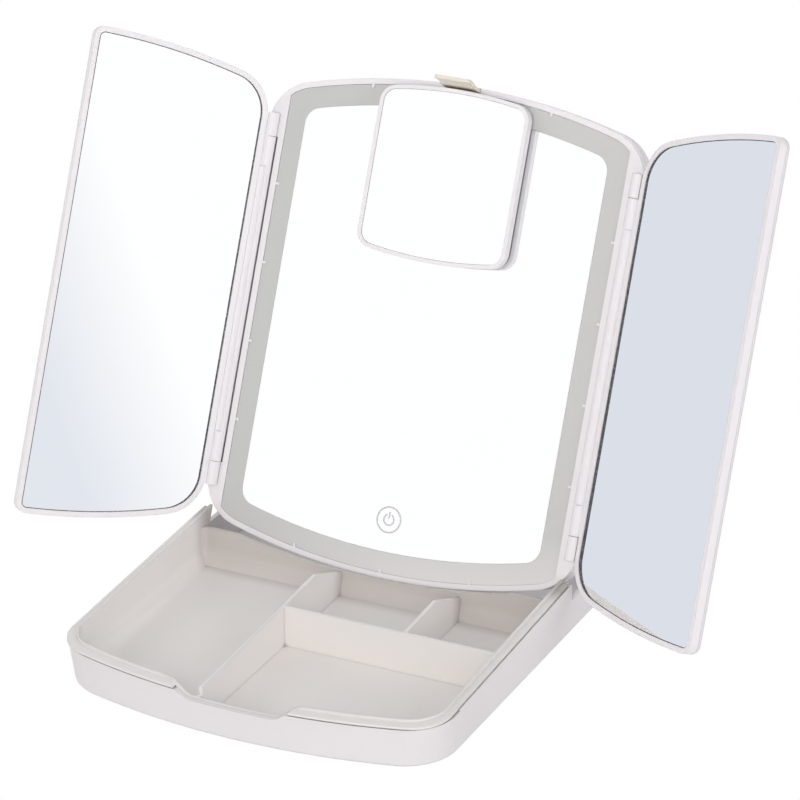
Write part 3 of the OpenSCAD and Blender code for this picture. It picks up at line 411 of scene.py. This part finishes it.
# -------------------------------------------------------------------- wings
# Each wing: a polished frame with its hinge barrel, and a satin back shell.
wing_abs = moulded_plastic("polished wing ABS", "#F3F1F3", "#F0EEF0", roughness=0.22, grain_mm=1.5,
                           bump=0.03, edge_mm=0.4)
give(wing_abs, "left_wing_frame", "right_wing_frame")
give(satin_abs, "left_wing_back", "right_wing_back")

# ---------------------------------------------------------- glass edge lines
# Round each wing's glass a thin dark line with pale chips: the ground edge and its dark backing
# paint, and painted shade where the glass sits below its rim. It is wider beside the hinge.
left_angle, right_angle = math.radians(43.3), math.radians(30.2)


def wing_axes(side):
    """Outward, upward and glass-front directions of a wing: side is -1 at the left and 1 at the right."""
    angle = left_angle if side < 0 else right_angle
    outward = Vector((side * math.cos(angle), 0, 0)) - panel_back * math.sin(angle)
    upward = Vector((0, math.sin(panel_lean), math.cos(panel_lean)))
    glass_front = Vector((-side * math.sin(angle), 0, 0)) - panel_back * math.cos(angle)
    return outward, upward, glass_front


def glass_outline(name, front):
    """The corner points of a glass sheet's front face, in order."""
    facing = 0.999
    work = bmesh.new()
    work.from_mesh(nodes[name].data)
    bmesh.ops.remove_doubles(work, verts=work.verts, dist=weld)
    faces = {f for f in work.faces if f.normal.dot(front) > facing}
    rim = {e for f in faces for e in f.edges if len(faces.intersection(e.link_faces)) == 1}
    first = next(iter(rim))
    loop, vert = [first.verts[0].co.copy()], first.verts[1]
    rim.discard(first)
    while rim:
        loop.append(vert.co.copy())
        step = [e for e in vert.link_edges if e in rim]
        if not step:
            break
        rim.discard(step[0])
        vert = step[0].other_vert(vert)
    work.free()
    return loop


def edge_line(name, node, side, thin, wide):
    """A flat strip just above the glass along its edge, wide beside the hinge and thin elsewhere."""
    wide_reach = 14 * MM
    lift = 0.03 * MM
    top_share = 0.6
    strip_weld = 0.001 * MM
    outward, upward, front = wing_axes(side)
    loop = glass_outline(node, front)
    middle = sum(loop, Vector()) / len(loop)
    hinge = min(p.dot(outward) for p in loop)
    half_height = max(abs((p - middle).dot(upward)) for p in loop)
    outer, inner = [], []
    for i, p in enumerate(loop):
        ahead, behind = loop[(i + 1) % len(loop)], loop[i - 1]
        along = (ahead - behind).normalized()
        inward = front.cross(along)
        if inward.dot(middle - p) < 0:
            inward = -inward
        near = max(0.0, 1 - (p.dot(outward) - hinge) / wide_reach)
        low = 0.5 - 0.5 * (p - middle).dot(upward) / half_height
        width = thin + (wide - thin) * near * (top_share + (1 - top_share) * low)
        outer.append(p + front * lift)
        inner.append(p + inward * width + front * lift)
    count = len(loop)
    mesh = bpy.data.meshes.new(name)
    mesh.from_pydata(outer + inner, [], [(i, (i + 1) % count, count + (i + 1) % count, count + i)
                                         for i in range(count)])
    work = bmesh.new()
    work.from_mesh(mesh)
    bmesh.ops.remove_doubles(work, verts=work.verts, dist=strip_weld)
    for face in work.faces:
        if face.normal.dot(front) < 0:
            face.normal_flip()
    work.to_mesh(mesh)
    work.free()
    strip = bpy.data.objects.new(name, mesh)
    bpy.context.scene.collection.objects.link(strip)
    return strip


# dark backing paint behind a ground edge, and painted shade at the glass's sunk edge: dark grey, flecked
# with pale chips
edge_line_with_shade, t = new_material("ground glass edge")
place = add(t, "ShaderNodeTexCoord")
chip_size = 0.55 * MM
chips = add(t, "ShaderNodeTexNoise", [(place, "Object", "Vector")], in_Scale=1 / chip_size, in_Detail=4)
fleck = add(t, "ShaderNodeMapRange", [(chips, "Fac", "Value")], in_From_Min=0.56, in_From_Max=0.66)
tone = add(t, "ShaderNodeMix", [(fleck, "Result", "Factor")], data_type="RGBA",
           in_6=linear("#3B3B3E"), in_7=linear("#B9B9BD"))
ground = add(t, "ShaderNodeBsdfPrincipled", [(tone, 2, "Base Color")], in_Roughness=0.45, in_IOR=1.52)
add(t, "ShaderNodeOutputMaterial", [(ground, 0, "Surface")])
for wing_name, side, thin, wide in (("left_wing", -1, 0.35 * MM, 0.9 * MM),
                                    ("right_wing", 1, 0.25 * MM, 2.2 * MM)):
    piece = edge_line(wing_name + "_glass_edge", wing_name + "_mirror", side, thin, wide)
    piece.data.materials.append(edge_line_with_shade)
    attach(piece, wing_name)

# ---------------------------------------------------------------- magnifier
# The lift-off magnifier: a polished ABS frame round its own small mirror.
give(frame_abs, "magnifier_frame")

# ------------------------------------------------------------------- camera
# A long lens from the user's front right, well above the panel, as the photograph
# was taken. How far off it stands is counted from the tray's foremost point.
tray_front_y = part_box("tray_shell")[0].y
camera_yaw = math.radians(25.76)
camera_pitch = math.radians(24.42)
camera_data = bpy.data.cameras.new("camera")
sensor_mm = 36
picture_pixels = 800
focal_pixels = 3966
camera_data.sensor_width = sensor_mm
camera_data.lens = sensor_mm * focal_pixels / picture_pixels
camera_data.shift_x, camera_data.shift_y = -0.00086, 0.00705
camera_data.clip_end = 20
camera = bpy.data.objects.new("camera", camera_data)
ahead = Vector((-math.sin(camera_yaw) * math.cos(camera_pitch),
                math.cos(camera_yaw) * math.cos(camera_pitch), -math.sin(camera_pitch)))
right = Vector((math.cos(camera_yaw), math.sin(camera_yaw), 0))
up = right.cross(ahead)
camera_at = Vector((703.5 * MM, tray_front_y - 1290.8 * MM, 822.95 * MM))
camera.matrix_world = Matrix.Translation(camera_at) @ Matrix((right, up, -ahead)).transposed().to_4x4()
bpy.context.scene.collection.objects.link(camera)
bpy.context.scene.camera = camera

# ------------------------------------------------------------------- studio
# White paper all round, a large soft lamp at the front and weaker ones at the
# right, the left and the rear. What each wing's mirror shows is set as a tone for
# the directions in which it reflects the camera's view.
world = bpy.data.worlds.new("studio")
bpy.context.scene.world = world
world.use_nodes = True
wt = world.node_tree
wt.nodes.clear()
direction = add(wt, "ShaderNodeTexCoord")


def seen_by(node, front):
    """Where the camera's look goes on from a mirror's middle, and the mirror's turn of a vector."""
    low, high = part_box(node)
    turned = Matrix.Identity(3) - 2 * Matrix([front * c for c in front])
    return (turned @ ((low + high) / 2 - camera_at)).normalized(), turned


def lobe(toward, inner_deg, outer_deg):
    """One near a direction, falling smoothly to nought between two angles from it."""
    dot = add(wt, "ShaderNodeVectorMath", [(direction, "Generated", 0)], operation="DOT_PRODUCT",
              in_1=toward)
    return add(wt, "ShaderNodeMapRange", [(dot, "Value", "Value")], interpolation_type="SMOOTHSTEP",
               in_From_Min=math.cos(math.radians(outer_deg)), in_From_Max=math.cos(math.radians(inner_deg)))


# what the right wing sees: a flat pale blue-grey wall at the far left
right_toward = seen_by("right_wing_mirror", wing_axes(1)[2])[0]
blue_wall = lobe(right_toward, inner_deg=12, outer_deg=20)
blue_seen = add(wt, "ShaderNodeMix", [(blue_wall, "Result", "Factor")], data_type="RGBA",
                in_6=linear("#FFFFFF"), in_7=linear("#DCE0E8"))
# what the left wing sees: white, turning pale blue towards its foot and its free edge
left_toward, left_turn = seen_by("left_wing_mirror", wing_axes(-1)[2])
# the fade's line across the picture, in shares of right and up, and its two ends along that line
fade_right = 793.2
fade_up = 277.6
fade_start = 41.2
fade_end = 69.2
fade_line = -(left_turn @ right) * fade_right - (left_turn @ up) * fade_up
left_view = add(wt, "ShaderNodeVectorMath", [(direction, "Generated", 0)], operation="DOT_PRODUCT",
                in_1=fade_line.normalized())
left_ramp = add(wt, "ShaderNodeMapRange", [(left_view, "Value", "Value")],
                in_From_Min=fade_start / fade_line.length, in_From_Max=fade_end / fade_line.length)
left_wall = lobe(left_toward, inner_deg=8, outer_deg=12)
left_part = add(wt, "ShaderNodeMath", [(left_ramp, 0, 0), (left_wall, 0, 1)], operation="MULTIPLY")
seen = add(wt, "ShaderNodeMix", [(left_part, 0, "Factor"), (blue_seen, 2, 6)], data_type="RGBA",
           in_7=linear("#E3E7EE"))
path = add(wt, "ShaderNodeLightPath")
plain = add(wt, "ShaderNodeBackground", in_Color=linear("#FFFFFF"), in_Strength=1.0)
reflected = add(wt, "ShaderNodeBackground", [(seen, 2, "Color")], in_Strength=1.0)
fill = add(wt, "ShaderNodeBackground", in_Color=linear("#F8F8FB"), in_Strength=0.5)
glossy = add(wt, "ShaderNodeMixShader", [(path, "Is Glossy Ray", 0), (fill, 0, 1), (reflected, 0, 2)])
camera_or_glass = add(wt, "ShaderNodeMath", [(path, "Is Camera Ray", 0), (path, "Is Transmission Ray", 1)],
                      operation="MAXIMUM")
all_rays = add(wt, "ShaderNodeMixShader", [(camera_or_glass, 0, 0), (glossy, 0, 1), (plain, 0, 2)])
add(wt, "ShaderNodeOutputWorld", [(all_rays, 0, "Surface")])


def soft_lamp(name, at, size, watts, colour):
    """A square softbox that lights the part but isn't shown by glossy surfaces."""
    data = bpy.data.lights.new(name, "AREA")
    data.shape, data.size, data.energy = "SQUARE", size, watts
    data.color = linear(colour)[:3]
    lamp = bpy.data.objects.new(name, data)
    aim = (Vector(lamp_aim) - Vector(at)).to_track_quat("-Z", "Y")
    lamp.matrix_world = Matrix.Translation(at) @ aim.to_matrix().to_4x4()
    lamp.visible_glossy = False
    bpy.context.scene.collection.objects.link(lamp)


lamp_aim = (0, 0, 0.08)
soft_lamp("front softbox", (0.5, -1.9, 1.0), size=1.0, watts=16, colour="#FFF9F6")
soft_lamp("right softbox", (1.8, -0.5, 0.8), size=1.0, watts=7.5, colour="#FDFBFF")
soft_lamp("left softbox", (-1.5, -0.9, 1.2), size=1.2, watts=5, colour="#FFFFFF")
soft_lamp("rear softbox", (-0.4, 1.9, 0.7), size=1.0, watts=7, colour="#FFFFFF")

floor_mesh = bpy.data.meshes.new("floor")
floor_half = 6.0
floor_corners = [(x * floor_half, y * floor_half, 0) for x, y in ((-1, -1), (1, -1), (1, 1), (-1, 1))]
floor_mesh.from_pydata(floor_corners, [], [(0, 1, 2, 3)])
floor_sheet = bpy.data.objects.new("floor", floor_mesh)
bpy.context.scene.collection.objects.link(floor_sheet)
# seamless paper: pure white to the camera, matt to the lamps, and not shown by glossy surfaces
paper, t = new_material("seamless white paper")
paper_path = add(t, "ShaderNodeLightPath")
place = add(t, "ShaderNodeTexCoord")
fibre_size = 1.2 * MM
fibre = add(t, "ShaderNodeTexNoise", [(place, "Object", "Vector")], in_Scale=1 / fibre_size)
paper_bump = add(t, "ShaderNodeBump", [(fibre, "Fac", "Height")], in_Strength=0.02)
paper_matt = add(t, "ShaderNodeBsdfDiffuse", [(paper_bump, "Normal", "Normal")], in_Color=linear("#F2F2F2"))
paper_white = add(t, "ShaderNodeEmission", in_Color=linear("#FFFFFF"), in_Strength=1.0)
paper_seen = add(t, "ShaderNodeMath", [(paper_path, "Is Camera Ray", 0),
                                       (paper_path, "Is Transmission Ray", 1)], operation="MAXIMUM")
paper_mix = add(t, "ShaderNodeMixShader", [(paper_seen, 0, 0), (paper_matt, 0, 1), (paper_white, 0, 2)])
add(t, "ShaderNodeOutputMaterial", [(paper_mix, 0, "Surface")])
floor_mesh.materials.append(paper)
floor_sheet.visible_glossy = False

# staging: the left wing is kept out of reflections, so the other mirrors don't show it
for name in ("left_wing_frame", "left_wing_back", "left_wing_mirror"):
    nodes[name].visible_glossy = False
bpy.data.objects["left_wing_glass_edge"].visible_glossy = False

bpy.context.scene.view_settings.view_transform = "Standard"
